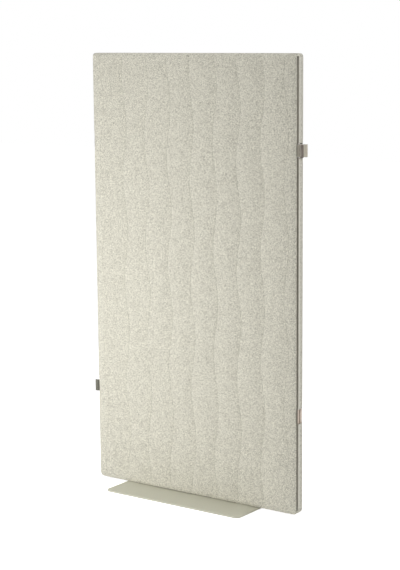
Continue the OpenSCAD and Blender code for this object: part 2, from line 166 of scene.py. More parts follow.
def per_metre(size_mm):
    """Texture scale at which one feature is that many millimetres across."""
    return 1000/size_mm


print("white:", linear("#ffffff"), "and the scale of 1 mm:", per_metre(1))

# %% [markdown]
# ## Wool melange
# The cover is a felted wool cloth spun from cream and grey-brown fibres mixed before spinning,
# which is what melange means. Up close it is a matt nap with short flecks; from across a room
# the flecks blur into a quiet grain. Real fibres are 0.02 mm and yarns about 1 mm. A pixel of
# the picture is over 3 mm, so the flecks are drawn at 1.35 mm, with more contrast than real
# ones: coarser cells make blots, and finer ones vanish. Cell noise, bent a little, gives each
# fleck its own shade. Softer noise gives cloudy patches and the bump of the nap. The side strips
# are pulled tighter, which shows a slightly greyer ground. The folded welt is drawn paler: that
# is a painted highlight, standing in for the light that its fold catches.

# %% Wool melange
NAP_MM = 1.0


def wool_melange(name, light, middle, dark, fleck_mm):
    """Cloth: cells of three shades, blended with finer noise, under a soft nap bump."""
    material, tree, shader, place = start_material(
        name, Roughness=0.95, Sheen_Weight=0.25, Sheen_Roughness=0.6, Specular_IOR_Level=0.2)
    warp = add(tree, "ShaderNodeTexNoise", {"Vector": place, "Scale": per_metre(3), "Detail": 1})
    shift = add(tree, "ShaderNodeVectorMath", {0: warp.outputs["Color"], 1: (1*MM, 1*MM, 1*MM)},
                operation="MULTIPLY")
    bent = add(tree, "ShaderNodeVectorMath", {0: place, 1: shift.outputs["Vector"]},
               operation="ADD")
    cells = add(tree, "ShaderNodeTexVoronoi",
                {"Vector": bent.outputs["Vector"], "Scale": per_metre(fleck_mm)})
    shade = add(tree, "ShaderNodeSeparateColor", {"Color": cells.outputs["Color"]})
    fine = add(tree, "ShaderNodeTexNoise",
               {"Vector": place, "Scale": per_metre(NAP_MM), "Detail": 3, "Roughness": 0.7})
    mixed = add(tree, "ShaderNodeMix",
                {"Factor": 0.45, "A": shade.outputs["Red"], "B": fine.outputs["Fac"]})
    colour = add(tree, "ShaderNodeValToRGB", {"Fac": mixed.outputs["Result"]},
                 stops=((0.25, dark), (0.48, middle), (0.72, light)))
    clouds = add(tree, "ShaderNodeTexNoise",
                 {"Vector": place, "Scale": per_metre(70), "Detail": 2})
    patch = add(tree, "ShaderNodeMapRange",
                {"Value": clouds.outputs["Fac"], "From Min": 0.3, "From Max": 0.7,
                 "To Min": 0.991, "To Max": 1.007})
    tint = add(tree, "ShaderNodeVectorMath",
               {0: colour.outputs["Color"], "Scale": patch.outputs["Result"]}, operation="SCALE")
    tree.links.new(tint.outputs["Vector"], shader.inputs["Base Color"])
    nap = add(tree, "ShaderNodeTexNoise",
              {"Vector": place, "Scale": per_metre(NAP_MM), "Detail": 4, "Roughness": 0.65})
    bump = add(tree, "ShaderNodeBump",
               {"Height": nap.outputs["Fac"], "Strength": 0.25, "Distance": 0.8*MM})
    tree.links.new(bump.outputs["Normal"], shader.inputs["Normal"])
    return material


wool = wool_melange("wool melange", "#f3f0e1", "#d3d0c1", "#9a968a", 1.35)
strip_wool = wool_melange("wool melange, side strip", "#e6e3d6", "#cac7ba", "#9b988b", 1.5)
# The welt's paler shades are a painted highlight along its lit fold.
welt_wool_painted_highlight = wool_melange("wool melange, folded welt, painted highlight", "#f7f4e9", "#efece0", "#dad7ca", 1.5)
print("cloths:", wool.name, "|", strip_wool.name, "|", welt_wool_painted_highlight.name)

# %% [markdown]
# ## Painted and cast metal
# The base plate is laser-cut steel with a baked powder coat. The powder flows out into a fine
# orange peel, 1 to 2 mm from dimple to dimple, so the plate is matt with a broad soft gleam.
# The tubes wear the same kind of coat in a warm, pale brown, a little glossier. The castings of
# the frame are bare aluminium, dull and grainy from the mould. Screws, rings and nut bars are
# zinc-plated, which is bright and slightly mottled. Sliders and pullers are dipped in enamel, so
# they are smooth, with rounded highlights. Dimples under 1 mm are too fine to show, and are
# drawn at 0.8 to 1.6 mm.

# %% Painted and cast metal
def coated_metal(name, colour, roughness, peel_mm, peel_high_mm, metallic=0.0):
    """Paint or plating: one colour with slight mottling, and orange-peel bump."""
    material, tree, shader, place = start_material(name, Metallic=metallic)
    clouds = add(tree, "ShaderNodeTexNoise",
                 {"Vector": place, "Scale": per_metre(25), "Detail": 5})
    dull = add(tree, "ShaderNodeMapRange",
               {"Value": clouds.outputs["Fac"], "To Min": roughness - 0.06,
                "To Max": roughness + 0.06})
    tree.links.new(dull.outputs["Result"], shader.inputs["Roughness"])
    gain = add(tree, "ShaderNodeMapRange",
               {"Value": clouds.outputs["Fac"], "To Min": 0.985, "To Max": 1.015})
    tint = add(tree, "ShaderNodeVectorMath",
               {0: linear(colour)[:3], "Scale": gain.outputs["Result"]}, operation="SCALE")
    tree.links.new(tint.outputs["Vector"], shader.inputs["Base Color"])
    grain = add(tree, "ShaderNodeTexNoise",
                {"Vector": place, "Scale": per_metre(peel_mm), "Detail": 2})
    bump = add(tree, "ShaderNodeBump",
               {"Height": grain.outputs["Fac"], "Strength": 0.4, "Distance": peel_high_mm*MM})
    tree.links.new(bump.outputs["Normal"], shader.inputs["Normal"])
    return material


powder_coat = coated_metal("powder-coated steel, grey-beige", "#cdccbb", 0.5, 1.6, 0.035)
tube_coat = coated_metal("powder-coated steel tube, warm brown", "#d6c6b7", 0.34, 1.6, 0.06)
casting = coated_metal("die-cast aluminium", "#6f6f6a", 0.55, 0.9, 0.15)
zinc = coated_metal("zinc-plated steel", "#a9abaa", 0.3, 0.8, 0.03, metallic=1.0)
enamel = coated_metal("enamelled zinc die-casting", "#8b8a7c", 0.3, 1.2, 0.02)
print("metals:", powder_coat.name, "|", tube_coat.name, "|", casting.name, "|", zinc.name)

# %% [markdown]
# ## Nylon, rubber, tape and felt
# The clips are moulded nylon, and the fine grain of the spark-eroded mould keeps them matt. The
# zip is a nylon coil, smooth with a little gleam, on a woven tape, which is dull and ribbed. The
# pads are moulded rubber, nearly black and quite dull. The boards are polyester felt pressed from
# short fibres, soft and cloudy. Sewing thread is polyester, in two tones of the cloth. Grain of
# 0.1 to 0.3 mm is too fine to show, and is drawn at 0.4 to 0.7 mm.

# %% Nylon, rubber, tape and felt
def textured(name, light, dark, grain_mm, depth_mm, roughness, **settings):
    """A matt material of two close shades that follow its grain, with the grain as bump."""
    material, tree, shader, place = start_material(name, Roughness=roughness, **settings)
    grain = add(tree, "ShaderNodeTexNoise",
                {"Vector": place, "Scale": per_metre(grain_mm), "Detail": 4, "Roughness": 0.6})
    colour = add(tree, "ShaderNodeValToRGB", {"Fac": grain.outputs["Fac"]},
                 stops=((0.35, dark), (0.65, light)))
    tree.links.new(colour.outputs["Color"], shader.inputs["Base Color"])
    bump = add(tree, "ShaderNodeBump",
               {"Height": grain.outputs["Fac"], "Strength": 0.5, "Distance": depth_mm*MM})
    tree.links.new(bump.outputs["Normal"], shader.inputs["Normal"])
    return material


# The pale clip nylon gets painted shade on its jaw's front in the cell below.
nylon = textured("moulded nylon, pale, with painted shade on the jaw's front", "#f0ebdf", "#e9e4d8", 0.5, 0.05, 0.45)
# This is the clip's nylon darkened into painted shade: a shaded copy for the left clip.
shade_painted_nylon = textured("moulded nylon, olive grey, painted shade", "#6c6b5e", "#616055", 0.5, 0.05, 0.5)
rubber = textured("moulded rubber", "#302f2d", "#282725", 0.6, 0.08, 0.75)
# The tape's darker shades are partly painted shade of the groove that it lines.
tape_weave_painted_shade = textured("woven zip tape, with painted groove shade", "#9a9588", "#7e786b", 0.7, 0.15, 0.9)
coil_nylon = textured("nylon zip coil", "#b0ac9d", "#9c988a", 0.5, 0.03, 0.45)
felt = textured("pressed polyester felt", "#9b9c93", "#83847b", 2.2, 0.6, 0.95, Sheen_Weight=0.2)
# This grey thread is darker than the cloth partly as painted shade along the stitched lines.
thread = textured("polyester sewing thread, grey, with painted seam shade", "#b4b2a4", "#a2a093", 0.4, 0.05, 0.7)
pale_thread = textured("polyester sewing thread, pale", "#d3d1c2", "#c1bfb1", 0.4, 0.05, 0.7)
print("others:", nylon.name, "|", coil_nylon.name, "|", felt.name)

# %% [markdown]
# ## Painted shade on the clip
# The right clip is moulded from a pale nylon. The front of its jaw lies in shade, and that shade
# is painted into its colour as a dark brown, so only the jaw's far lip shows pale. Both share one
# grain, so the painted brown is mixed into the pale material by depth, from the Y of the jaw's
# outer face to a few millimetres behind it.

# %% The clip's painted shade
# The painted shade is full at the jaw's outer face and fades out a few millimetres behind it.
SHADE_FULL_Y, SHADE_END_Y = -13*MM, -8.4*MM          # where the brown is full, and where it ends
tree = nylon.node_tree
base = tree.nodes["Principled BSDF"].inputs["Base Color"]
place = add(tree, "ShaderNodeSeparateXYZ", {0: add(tree, "ShaderNodeTexCoord").outputs["Object"]})
shade_fade = add(tree, "ShaderNodeMapRange",
             {"Value": place.outputs["Y"], "From Min": SHADE_FULL_Y, "From Max": SHADE_END_Y})
# The dark brown mixed in here is painted shade on the front of the jaw.
painted_shade_mix = add(tree, "ShaderNodeMix", {0: shade_fade.outputs[0], 6: linear("#5f5348"),
                                    7: base.links[0].from_socket}, data_type="RGBA")
tree.links.new(painted_shade_mix.outputs[2], base)
print("nodes of the nylon with painted shade:", len(tree.nodes))

# %% [markdown]
# ## Pieces
# A new piece is a mesh from arrays of points and faces. It rides on the CAD body of the node
# that it stands for, so that it moves with it, and its point list holds its place in the frame.

# %% A piece from arrays
body_of_node = {n: body for body, nodes in frame["record"]["behaviour"]["bodies"].items()
                for n in nodes}


def piece(name, points, faces, material, node):
    """A mesh object from arrays, riding on a node's body and standing for that node."""
    mesh = bpy.data.meshes.new(name)
    mesh.from_pydata(np.asarray(points).tolist(), [], [list(f) for f in faces])
    mesh.materials.append(material)
    mesh.polygons.foreach_set("use_smooth", [True]*len(mesh.polygons))
    obj = bpy.data.objects.new(name, mesh)
    bpy.context.scene.collection.objects.link(obj)
    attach(obj, body_of_node[node])
    return obj


print("bodies:", sorted(set(body_of_node.values())))

# %% [markdown]
# ## The quilted faces
# A quilt is cloth, wadding and backing sewn through along waving lines. Between two lines the
# wadding pushes the cloth out; along a line the thread holds it down and gathers it a little.
# It could be a displaced plane, but then its edges would be open, so it is built as a closed
# loft: rings of points, one per level, running over the outer face and back along the inner.
# The last line on each side lies where the padding rounds off to the edge. A cloth simulation
# then blows up the outer skin with its seams held.

# %% The lines of the quilting
PITCH_MM, WAVE_MM, SWING_MM = 92, 350, 9
SEAM_PHASES = np.array([0.74, 0.54, 0.93, 0.74, 0.56, 0.92, 0.73, 0.92, 0.53])
LEVELS, ROLL_LEVELS = 232, 8             # rings between the two rolls, and in each roll
ACROSS, EDGE_ACROSS = 14, 6              # columns in a whole channel, and in an outer one
CREST_SHARE = 0.42                       # of the full crest, before the cloth swells
DRAWN_IN, EASE = 3*MM, 14*MM             # at a cut-out, and how far past it that fades out


def seam_lines(z):
    """x of every seam at each height: pitch times its number, plus a cosine wave."""
    number = np.arange(9) - 4
    turns = np.asarray(z)[:, None]/(WAVE_MM*MM) - SEAM_PHASES
    return number*PITCH_MM*MM + SWING_MM*MM*np.cos(2*np.pi*turns)


def half_width(z):
    """Half the panel's width: a corner takes off radius - sqrt(radius squared - (radius -
    height) squared), and a fitting takes off 3 mm, less in proportion to the distance."""
    corner = 0
    for radius, end in ((LOW_CORNER, z - BOTTOM), (HIGH_CORNER, TOP - z)):
        end = np.clip(end, 0, radius)
        corner = corner + radius - np.sqrt(np.maximum(0, radius**2 - (radius - end)**2))
    off = np.minimum(abs(z - LOW_FITTING), abs(z - HIGH_FITTING))/(CUT_HALF + EASE)
    return SIDE - corner - DRAWN_IN*np.clip(1 - off, 0, 1)


def quilt_levels():
    """Height, inner height and roll angle of each ring. The ends roll through 90 degrees."""
    angle = np.radians(np.linspace(90, 0, ROLL_LEVELS + 1)[:-1])
    low = np.column_stack([BOTTOM + ROLL*(1 - np.sin(angle)),
                           BOTTOM + WRAP + (ROLL - WRAP)*(1 - np.sin(angle)), angle])
    z = np.linspace(BOTTOM + ROLL, TOP - ROLL, LEVELS)
    flat = np.column_stack([z, z, 0*z])
    high = np.column_stack([TOP - (low[::-1, 0] - BOTTOM), TOP - (low[::-1, 1] - BOTTOM),
                            low[::-1, 2]])
    return np.vstack([low, flat, high])


print("levels:", len(quilt_levels()), "seams:", len(SEAM_PHASES))

# %% The loft of a quilt
OUTER_CREST = 0.3                        # of a whole channel's crest
BACK_BORDER = 7*MM                       # width of the border on the inner face


def fullness(across):
    """How full a channel is, from its place across the panel (-1 to 1): the wadding is laid
    thicker to one side, 0.83 + 0.55 times the place, between 0.42 and 0.9."""
    return np.clip(0.83 + 0.55*across, 0.42, 0.9)


def quilt_rings():
    """Points of the front quilt as [level, place in the ring, xyz], and which of them are held.
    In a channel the face stands at the straight line between its two bounds plus the crest
    times (4t(1 - t)) to the power 0.6. In the two outer ones that line falls away to the edge
    with the distance to the power 1.5. A roll shrinks the face towards the slot by a cosine."""
    levels = quilt_levels()
    z, inner_z, angle = levels.T
    w = half_width(z)
    bounds = np.column_stack([-w, seam_lines(z), w])
    depths = np.array([EDGE, OUTER_SEAM] + [SEAM]*7 + [OUTER_SEAM, EDGE])
    xs, ys, held = [], [], []
    for c in range(10):                  # ten channels from left to right
        edge = c in (0, 9)
        t = np.linspace(0, 1, (EDGE_ACROSS if edge else ACROSS) + 1)[:-1]
        crest = (CREST - SEAM)*CREST_SHARE*(OUTER_CREST if edge else 1)*fullness(c/4.5 - 1)
        fall = t**1.5 if c == 9 else 1 - (1 - t)**1.5 if c == 0 else t
        xs.append(bounds[:, c, None] + (bounds[:, c + 1] - bounds[:, c])[:, None]*t)
        ys.append(np.tile(depths[c] + (depths[c + 1] - depths[c])*fall + crest*(4*t*(1 - t))**0.6,
                          (len(z), 1)))
        held.append(t == 0)
    xs = np.hstack(xs + [bounds[:, -1:]])
    ys = np.hstack(ys + [np.full((len(z), 1), depths[-1])])
    held = np.append(np.hstack(held), True)
    n = xs.shape[1]
    rolled = SLOT + (ys - SLOT)*np.cos(angle)[:, None]
    outer = np.stack([xs, -rolled, np.repeat(z[:, None], n, 1)], 2)
    # the inner face is six points, from right to left: rim, border, step, step, border, rim
    side = np.array([1, 1, 1, -1, -1, -1])
    back_x = (w[:, None] - np.array([0, 1, 1, 1, 1, 0])*BACK_BORDER)*side
    back_y = np.array([BORDER, BORDER, INNER, INNER, BORDER, BORDER])
    back_y = SLOT + (back_y - SLOT)*np.cos(angle)[:, None]
    toward_outer = np.array([0.68, 0.68, 0, 0, 0.68, 0.68])
    back_z = inner_z[:, None] + (z - inner_z)[:, None]*toward_outer
    points = np.concatenate([outer, np.stack([back_x, -back_y, back_z], 2)], 1)
    pinned = np.zeros(points.shape[:2], bool)
    pinned[:, :n] = held
    pinned[:, n:] = True
    pinned[angle > 1.2] = True           # and the last rings of the rolls, next to the slot
    return points, pinned, n


def ring_faces(levels, n):
    """Quads between neighbouring rings, and one face over each end."""
    i, j = np.meshgrid(np.arange(levels - 1), np.arange(n), indexing="ij")
    k = (j + 1) % n
    quads = np.stack([i*n + j, i*n + k, (i + 1)*n + k, (i + 1)*n + j], 2).reshape(-1, 4)
    return quads.tolist() + [list(range(n))[::-1], list(range((levels - 1)*n, levels*n))]


rest, pinned, outer_n = quilt_rings()
print("quilt:", rest.shape[0], "rings of", rest.shape[1], "points,", int((~pinned).sum()), "free")

# %% [markdown]
# ## Swelling the quilt
# Cloth simulation gives what a formula can't: the skin pulls taut between the seams and puckers
# beside them. Every seam, edge and inner point is held, a little spare cloth is let in by a
# negative shrink, and pressure pushes the rest out. Gravity is off, because wadding carries
# the cloth. No point may move more than a few millimetres, so the face stays flat overall. What
# the cloth moved is then scaled by how full the wadding is across the panel.

# %% Cloth simulation
def swell(points, pinned, pressure=1.2, frames=20, cap_mm=4):
    """Points of the loft after the cloth has settled, moved by the cap at most."""
    mesh = bpy.data.meshes.new("skin")
    mesh.from_pydata(points.reshape(-1, 3).tolist(), [], ring_faces(*points.shape[:2]))
    skin = bpy.data.objects.new("skin", mesh)
    bpy.context.scene.collection.objects.link(skin)
    group = skin.vertex_groups.new(name="held")
    group.add(np.flatnonzero(pinned.ravel()).tolist(), 1.0, "REPLACE")
    cloth = skin.modifiers.new("cloth", "CLOTH")
    s = cloth.settings
    s.quality, s.mass, s.air_damping = 6, 0.15, 2.0
    s.tension_stiffness = s.compression_stiffness = 12
    s.shear_stiffness, s.bending_stiffness = 4, 0.3
    s.vertex_group_mass, s.pin_stiffness = "held", 1.0
    s.shrink_min = -0.0028
    s.use_pressure, s.uniform_pressure_force = True, pressure
    s.effector_weights.gravity = 0
    cloth.collision_settings.use_self_collision = False
    cloth.point_cache.frame_start, cloth.point_cache.frame_end = 1, frames
    for number in range(1, frames + 1):
        bpy.context.scene.frame_set(number)
    settled = skin.evaluated_get(bpy.context.evaluated_depsgraph_get()).to_mesh()
    moved = np.empty(points.size, np.float32)
    settled.vertices.foreach_get("co", moved)
    moved = moved.reshape(-1, 3) - points.reshape(-1, 3)
    bpy.data.objects.remove(skin)
    bpy.context.scene.frame_set(1)
    far = np.linalg.norm(moved, axis=1)
    print("cloth moved, mm: mean", round(far[~pinned.ravel()].mean()/MM, 2), "most",
          round(far.max()/MM, 2))
    moved *= (np.minimum(far, cap_mm*MM)/np.maximum(far, 1e-9))[:, None]
    moved[pinned.ravel()] = 0
    return points + moved.reshape(points.shape)


settled = swell(rest, pinned)
settled = rest + (settled - rest)*fullness(rest[..., :1]/SIDE)
fourth = slice(EDGE_ACROSS + 3*ACROSS, EDGE_ACROSS + 4*ACROSS + 1)
for points in (rest, settled):
    print("section of a channel, mm:", (-points[60:190, fourth, 1].mean(0)/MM).round(1).tolist())
print("crest after, mm:", round(-settled[..., 1].min()/MM, 2), "of the solid:", round(CREST/MM, 2))

# %% The two quilts
HALF_TURN = np.array([-1, -1, 1])        # turns the front quilt into the back one


def quilt(node, points):
    """A padded face: the settled loft, smoothed once. Edges that run along a seam or a rim are
    creased, which keeps them crisp."""
    obj = piece(node + "_cloth", points.reshape(-1, 3), ring_faces(*points.shape[:2]), wool, node)
    mesh = obj.data
    ends = np.empty(2*len(mesh.edges), np.int64)
    mesh.edges.foreach_get("vertices", ends)
    column = ends.reshape(-1, 2) % points.shape[1]
    seam = pinned[points.shape[0]//2] & (np.arange(points.shape[1]) < outer_n)
    rim = np.isin(np.arange(points.shape[1]), (0, outer_n - 1, outer_n, points.shape[1] - 1))
    along = column[:, 0] == column[:, 1]
    crease = np.where(along & seam[column[:, 0]], 0.9, 0.0)
    crease[along & rim[column[:, 0]]] = 1.0
    mesh.attributes.new("crease_edge", "FLOAT", "EDGE").data.foreach_set(
        "value", crease.astype(np.float32))
    smooth = obj.modifiers.new("smooth", "SUBSURF")
    smooth.levels = smooth.render_levels = 1
    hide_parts(node)
    print(obj.name, len(mesh.polygons), "faces,", int((crease > 0).sum()), "creased edges")


quilt("front_quilt", settled)
quilt("back_quilt", settled*HALF_TURN)

# %% [markdown]
# ## Stitches
# The quilting is sewn with a straight lockstitch of about 5 mm, in a grey thread a little darker
# than the cloth: partly the thread's own tone, and partly painted shade of the stitched groove.
# Each stitch is a small capsule that lies along its line, half sunk into the cloth. It could be a
# bump in the material, but real thread stands out and throws its own small shadow.

# %% Beads
def beads(centres, along, across, length_mm, wide_mm, high_mm, sides=5, blunt=0.35):
    """Many small capsules: four rings each, at -1, -0.7, 0.7 and 1 of half the length, whose
    ellipses have the given widths, times blunt at the two ends. along and across are unit
    vectors, one for all or one for each."""
    centres = np.asarray(centres)
    along = np.broadcast_to(along, centres.shape)
    across = np.broadcast_to(across, centres.shape)
    out = np.cross(along, across)
    angle = np.linspace(0, 2*np.pi, sides, endpoint=False)
    place = np.array([-1, -0.7, 0.7, 1])*length_mm*MM/2
    size = np.array([blunt, 1, 1, blunt])
    ring = (across[:, None, None]*(np.cos(angle)*wide_mm*MM/2)[:, None]
            + out[:, None, None]*(np.sin(angle)*high_mm*MM/2)[:, None])
    points = (centres[:, None, None] + along[:, None, None]*place[:, None, None]
              + ring*size[:, None, None])
    one = ring_faces(4, sides)
    n = 4*sides
    quads = np.array(one[:-2])[None] + (np.arange(len(centres))*n)[:, None, None]
    ends = np.array(one[-2:])[None] + (np.arange(len(centres))*n)[:, None, None]
    return points.reshape(-1, 3), quads.reshape(-1, 4).tolist() + ends.reshape(-1, sides).tolist()


print("one bead:", len(beads([(0, 0, 0)], (0, 0, 1), (0, 1, 0), 1, 1, 1)[1]), "faces")

# %% Stitches of the quilting
STITCH_MM, THREAD_MM = 5.0, 0.8
STITCH_SHOWS = 0.74                      # of its length; the rest dips into the cloth
STANDS_OUT = 0.15*MM                     # the thread's middle, over the stitched line


def seam_stitches(turn):
    """Stitches on all nine lines of a face: centres at steps of the stitch length, and each
    turned along the slope of its line, which is the difference of x over the height."""
    z = np.arange(BOTTOM + ROLL, TOP - ROLL, STITCH_MM*MM)
    x, step = seam_lines(z), 1*MM
    slope = (seam_lines(z + step) - seam_lines(z - step))/(2*step)
    depth = np.array([OUTER_SEAM] + [SEAM]*7 + [OUTER_SEAM]) + STANDS_OUT
    centres = np.stack([x, np.tile(-depth, (len(z), 1)), np.repeat(z[:, None], 9, 1)], 2)
    along = np.stack([slope, 0*slope, np.ones_like(slope)], 2)
    along /= np.linalg.norm(along, axis=2, keepdims=True)
    return beads((centres*turn).reshape(-1, 3), (along*turn).reshape(-1, 3), (0, 1, 0),
                 STITCH_MM*STITCH_SHOWS, THREAD_MM, THREAD_MM)


for node, turn in (("front_quilt", 1), ("back_quilt", HALF_TURN)):
    stitches = piece(node + "_stitches", *seam_stitches(turn), thread, node)
    print(stitches.name, len(stitches.data.polygons), "faces")

# %% [markdown]
# ## Profiles
# Hems, tapes and strips are long and even, so each is a drawn profile that is carried up through
# a row of heights. Cloth has no sharp edge, so every corner of a profile gets its own radius.

# %% Profiles carried upwards
def round_corners(corners_mm, steps=5):
    """A closed profile from rows of x, y and corner radius, anticlockwise. Each corner becomes an
    arc that touches both of its sides: it starts radius/tan(half the angle) from the corner."""
    corners = np.asarray(corners_mm, float)*MM
    p, r = corners[:, :2], corners[:, 2:]
    a, b = np.roll(p, 1, 0) - p, np.roll(p, -1, 0) - p
    a, b = a/np.linalg.norm(a, axis=1, keepdims=True), b/np.linalg.norm(b, axis=1, keepdims=True)
    half = np.arccos(np.clip((a*b).sum(1, keepdims=True), -1, 1))/2
    middle = (a + b)/np.linalg.norm(a + b, axis=1, keepdims=True)
    centre = p + middle*r/np.sin(half)
    start, end = p + a*r/np.tan(half) - centre, p + b*r/np.tan(half) - centre
    first = np.arctan2(start[:, 1], start[:, 0])
    turn = (np.arctan2(end[:, 1], end[:, 0]) - first + np.pi) % (2*np.pi) - np.pi
    angle = first[:, None] + turn[:, None]*np.linspace(0, 1, steps)
    arcs = centre[:, None] + r[:, None]*np.stack([np.cos(angle), np.sin(angle)], 2)
    return arcs.reshape(-1, 2)


def upright_bar(profile, z_values):
    """A profile in x and y carried up through a row of heights: points [level, place, xyz]."""
    z = np.asarray(z_values)
    flat = np.broadcast_to(profile, (len(z),) + profile.shape)
    return np.concatenate([flat, np.broadcast_to(z[:, None, None], flat.shape[:2] + (1,))], 2)


def mirrored(points):
    """The rings of a left piece from those of a right one: x changes sign, and each ring runs
    the other way round, so that the faces still point outwards."""
    return (points*np.array([-1, 1, 1]))[:, ::-1]


def joined(lofts):
    """Points and faces of several lofts as one mesh."""
    points, faces, start = [], [], 0
    for loft in lofts:
        faces += [[v + start for v in f] for f in ring_faces(*loft.shape[:2])]
        points.append(loft.reshape(-1, 3))
        start += points[-1].shape[0]
    return np.vstack(points), faces


bar = upright_bar(round_corners([(0, 0, 1), (9, 0, 1), (0, 9, 1)]), (0, 1))
print("a bar with three round corners:", bar.shape[0], "rings of", bar.shape[1], "points")

# %% [markdown]
# ## Side strips
# A side strip is one layer of the cover's cloth, stretched over the upright from the zip to the
# back face. Its front edge is folded into a welt that shows as a lighter line beside the groove;
# the welt's paler cloth is a painted highlight along that lit fold.
# The strip is a rounded profile carried up the side in three lengths, with two square cut-outs
# between them, where only the back hem runs on. The welt and two rows of stitches are pieces sewn
# to the strip's cloth. The cut-out that has no clip looks into the cover: a fold of lining in the
# tube's colour catches the light there, in front of the tube.

# %% Profiles of a side
# Rows of x, y and corner radius in mm, for the right side.
STRIP = round_corners([(399.9, -6.8, 0.3), (405.6, -6.8, 1.5), (405.6, 16.9, 1.5),
                       (398.4, 16.9, 0.5), (398.4, 15.7, 0.4), (404.2, 15.7, 0.5),
                       (404.2, -5.5, 1.0), (399.9, -5.5, 0.3)])
HEM = round_corners([(398.4, 15.7, 0.5), (404.0, 15.7, 0.5), (404.0, 16.9, 0.5),
                     (398.4, 16.9, 0.5)])
WELT = round_corners([(401.0, -7.4, 0.3), (406.3, -7.4, 1.3), (406.3, -0.2, 0.5),
                      (405.3, -0.2, 0.3), (405.3, -6.5, 1.0), (401.0, -6.5, 0.3)])
LINING = round_corners([(401.6, 5.8, 0.4), (404.0, 5.8, 0.8), (404.0, 15.9, 0.3),
                        (401.6, 15.9, 0.3)])
STITCH_ROWS = [(406.35, -2.0), (405.65, 13.6)]   # x and y in mm: on the welt, on the back hem
STRIP_LOW, STRIP_HIGH = strip_low.z, TOP - HIGH_CORNER - 0.3*MM
EDGES = [(STRIP_LOW, LOW_FITTING - CUT_HALF), (LOW_FITTING + CUT_HALF, HIGH_FITTING - CUT_HALF),
         (HIGH_FITTING + CUT_HALF, STRIP_HIGH)]
STEPS = 60                               # levels in each length
print("side strips, mm long:", [round((b - a)/MM) for a, b in EDGES])

# %% Side strips
def three_lengths(profile):
    """The profile carried up between the panel's ends, with gaps at both fittings."""
    return [upright_bar(profile, np.linspace(a, b, STEPS)) for a, b in EDGES]


def past_cut_out(profile, fitting):
    """The profile carried past a cut-out, 1 mm further at both ends."""
    return upright_bar(profile, (fitting - CUT_HALF - 1*MM, fitting + CUT_HALF + 1*MM))


def side_piece(side, name, lofts, material, node):
    """A piece of one side: the right one as it is, the left one mirrored."""
    lofts = lofts if side == "right" else [mirrored(loft) for loft in lofts]
    return piece(side + name, *joined(lofts), material, side + node)


hems = [past_cut_out(HEM, fitting) for fitting in (LOW_FITTING, HIGH_FITTING)]
z = np.concatenate([np.arange(a + 3*MM, b - 3*MM, STITCH_MM*MM) for a, b in EDGES])
for side, sign in SIDES.items():
    strip = side_piece(side, "_strip_cloth", three_lengths(STRIP) + hems, strip_wool,
                       "_side_strip")
    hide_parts(side + "_side_strip")
    sewn = [side_piece(side, "_strip_welt", three_lengths(WELT), welt_wool_painted_highlight, "_side_strip")]
    for number, (x, y) in enumerate(STITCH_ROWS):
        centres = np.column_stack([np.full_like(z, sign*x*MM), np.full_like(z, y*MM), z])
        sewn.append(piece(f"{side}_strip_stitches_{number}",
                          *beads(centres, (0, 0, 1), (0, 1, 0), STITCH_MM*STITCH_SHOWS,
                                 wide_mm=0.7, high_mm=0.5),
                          pale_thread, side + "_side_strip"))
    empty = LOW_FITTING if side == "right" else HIGH_FITTING
    side_piece(side, "_recess_lining", [past_cut_out(LINING, empty)], tube_coat, "_side_strip")
    print(side, "strip:", len(strip.data.polygons), "faces,", len(z), "stitches in each row")

# %% [markdown]
# ## Zips
# The groove hides a closed coil zip. Its tape is a sheet folded into a channel between the front
# face and the strip; its dark colour is partly the tape's own and partly painted shade of the
# groove. A coil is one nylon spiral on each side, and the turns of the two hook into each other,
# so they come from the front and the back in turn, 1 mm apart. Only the turns' outer bends can be
# seen, so each turn is one bead across the tape. A metal stop closes each end.

# %% Zip tapes and teeth
TAPE = round_corners([(404.2, -17.1, 0.1), (404.2, -16.75, 0.1), (400.8, -16.75, 0.4),
                      (400.8, -7.6, 0.4), (402.4, -7.6, 0.1), (402.4, -7.2, 0.1),
                      (400.0, -7.2, 0.2), (400.0, -17.1, 0.2)], 3)
STOP = round_corners([(400.85, -16.2, 0.3), (403.05, -16.2, 0.7), (403.05, -11.8, 0.7),
                      (400.85, -11.8, 0.3)])
STOP_LEVELS = np.array([0, 0.3, 2.7, 3])*MM
TURN_MM = 1.0                            # from one turn of the coils to the next
COIL_X, COIL_Y, COIL_SWING = 401.85*MM, -14*MM, 0.75*MM
for side, sign in SIDES.items():
    tape = side_piece(side, "_tape_cloth", [upright_bar(TAPE, (STRIP_LOW, STRIP_HIGH))],
                      tape_weave_painted_shade, "_zip_tape")
    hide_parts(side + "_zip_tape")
    low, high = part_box(side + "_zip_teeth")
    z = np.arange(low.z + 5*MM, high.z - 4.5*MM, TURN_MM*MM)   # between the two stops
    swing = np.where(np.arange(len(z)) % 2, COIL_SWING, -COIL_SWING)
    centres = np.column_stack([np.full_like(z, sign*COIL_X), COIL_Y + swing, z])
    turns = beads(centres, (0, 1, 0), (0, 0, 1), length_mm=2.3, wide_mm=1.05, high_mm=1.9,
                  sides=6, blunt=0.6)
    teeth = piece(side + "_coil", *turns, coil_nylon, side + "_zip_teeth")
    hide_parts(side + "_zip_teeth")
    for end, start in (("_lower_stop", low.z), ("_upper_stop", high.z - STOP_LEVELS[-1])):
        side_piece(side, end, [upright_bar(STOP, start + STOP_LEVELS)], zinc, "_zip_teeth")
    print(side, "coil:", len(z), "turns")

# %% [markdown]
# ## Ends of the cover
# Over the top rail and under the bottom one a plain strip of the cloth joins the two faces. Its
# path is the panel's outline at that end, and its section is 22 mm wide and a little crowned. It
# widens round the corners, where the faces' borders stand further apart. It is cut from a strip
# 34 mm wide, the width at the corners' ends, so its area is less than that rectangle's.

# %% End strips
HALF_WIDE, WIDENS = 11.2*MM, 5.8*MM      # half the width over the rail, and its growth
CROWN, SUNK, CLOTH = 0.4*MM, 0.5*MM, 1.2*MM
BENDS, ALONG = 9, 41                     # places in a quarter of a circle, and along the line


